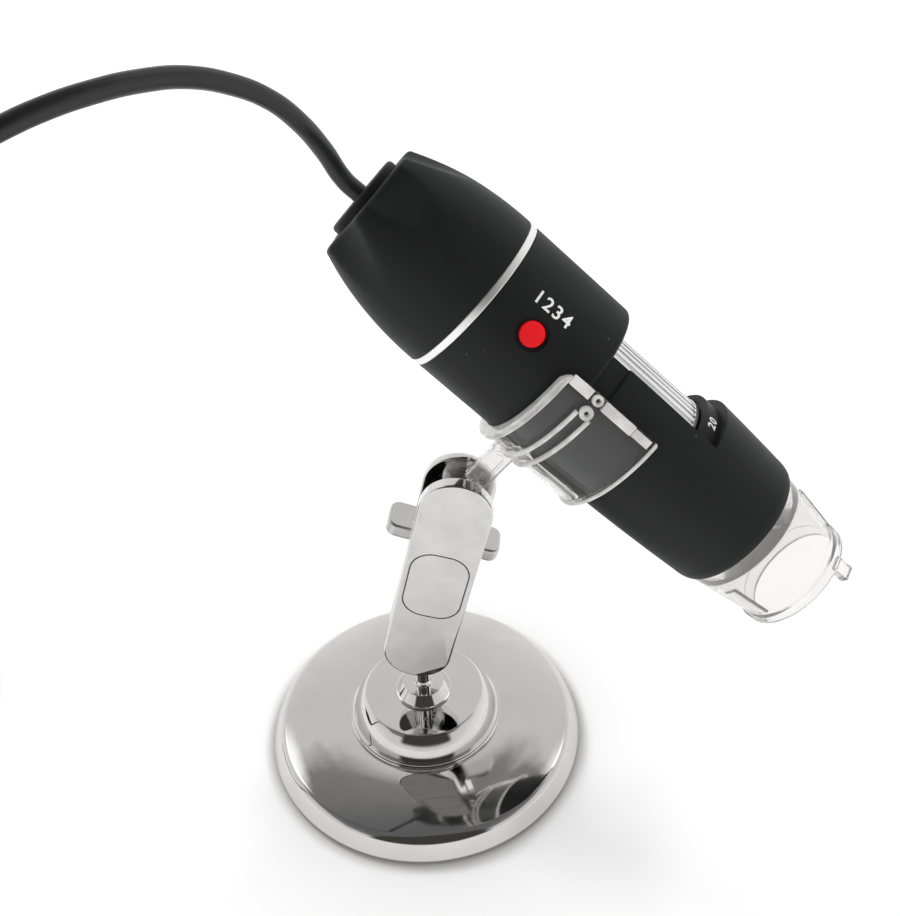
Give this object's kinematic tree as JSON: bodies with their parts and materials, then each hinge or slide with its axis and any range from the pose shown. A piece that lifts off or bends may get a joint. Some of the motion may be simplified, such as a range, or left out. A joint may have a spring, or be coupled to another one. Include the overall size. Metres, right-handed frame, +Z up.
{
  "type": "usb digital microscope",
  "caption": "Pen-shaped USB microscope with clear nose cap and focus wheel, held by a clear clip in a ball-jointed clamp arm on a round weighted base, with cord and plug.",
  "frame": {"origin": "centre of the base's underside, on the table", "axes": "+Z up, +X toward the side the nose points to, -Y toward the front face of the arm"},
  "size_m": [0.2847, 0.0756, 0.1647],
  "materials": {
    "black_plastic": "soft-touch matt",
    "dark_plastic": "fine matt",
    "chrome": "mirror plated",
    "brushed": "satin polished",
    "steel": "plain",
    "red_plastic": "glossy",
    "board": "solder mask",
    "white_plastic": "matt",
    "clear_plastic": "clear polished",
    "lens_glass": "coated",
    "brass": "plain",
    "pad": "soft foam sheet",
    "cord": "satin jacket",
    "wire": "insulation"
  },
  "bodies": {
    "base": {"base_dish": "chrome", "base_weight": "steel", "foot_pad": "pad"},
    "stud": {"ball_stud": "chrome", "stud_nut": "steel"},
    "arm": {"arm_front": "brushed", "clamp_bolt": "steel"},
    "clamp_half": {"arm_rear": "brushed", "clamp_washer": "steel"},
    "wing": {"wing_nut": "chrome"},
    "holder": {"clip": "clear_plastic"},
    "wheel": {"focus_wheel": "chrome"},
    "lens": {"lens_barrel": "dark_plastic", "focus_pin": "brass", "front_lens": "lens_glass", "rear_lens": "lens_glass", "lens_retainer": "dark_plastic"},
    "button": {"snap_button": "red_plastic"},
    "scope": {"tail_cap": "black_plastic", "cable_gland": "dark_plastic", "trim_ring": "chrome", "main_sleeve": "black_plastic", "button_board": "board", "button_switch": "dark_plastic", "sensor_board": "board", "image_sensor": "dark_plastic", "board_screws": "steel", "lens_tube": "dark_plastic", "front_housing": "black_plastic", "led_board": "white_plastic", "leds": "white_plastic", "led_screws": "steel", "nose_cap": "clear_plastic", "lead_stub": "cord", "cord_clamp": "steel", "lead_wires": "wire", "cord_lead": "cord", "cord_coil": "cord", "cord_tie": "dark_plastic", "cord_tail": "cord", "plug_boot": "dark_plastic", "plug_grip": "dark_plastic", "plug_shell": "chrome", "plug_tongue": "white_plastic"}
  },
  "joints": [
    {"name": "base_swivel", "type": "hinge", "parent": "base", "child": "stud", "pos_m": [0, 0, 0.0334], "axis": [0, 0, 1], "continuous": true},
    {"name": "arm_tilt", "type": "hinge", "parent": "stud", "child": "arm", "pos_m": [0, 0, 0.0334], "axis": [0, 1, 0], "range_deg": [-60, 20]},
    {"name": "clamp_slide", "type": "slide", "parent": "arm", "child": "clamp_half", "axis": [0, 1, 0], "range_m": [0, 0.0006]},
    {"name": "wing_turn", "type": "hinge", "parent": "clamp_half", "child": "wing", "pos_m": [0.00489, 0, 0.05423], "axis": [0, 1, 0], "range_deg": [0, 270]},
    {"name": "clip_tilt", "type": "hinge", "parent": "arm", "child": "holder", "pos_m": [0.00977, 0, 0.07507], "axis": [0, 1, 0], "range_deg": [-40, 25]},
    {"name": "scope_roll", "type": "hinge", "parent": "holder", "child": "scope", "pos_m": [0.03216, 0.00639, 0.09941], "axis": [0.7466, -0.1316, -0.6521], "range_deg": [-90, 90]},
    {"name": "focus_turn", "type": "hinge", "parent": "scope", "child": "wheel", "pos_m": [0.03634, 0.00566, 0.09576], "axis": [0.7466, -0.1316, -0.6521], "range_deg": [-135, 135]},
    {"name": "lens_slide", "type": "slide", "parent": "scope", "child": "lens", "axis": [0.7466, -0.1316, -0.6521], "range_m": [-0.004, 0.004]},
    {"name": "button_press", "type": "slide", "parent": "scope", "child": "button", "axis": [-0.2692, 0.8366, -0.4771], "range_m": [0, 0.0005], "stiffness_N_per_m": 1500, "springref_m": -0.0003}
  ],
  "couplings": [
    {"joint": "clamp_slide", "follows": "wing_turn", "m_per_rad": 0.00011141},
    {"joint": "lens_slide", "follows": "focus_turn", "m_per_rad": 0.0016914}
  ]
}
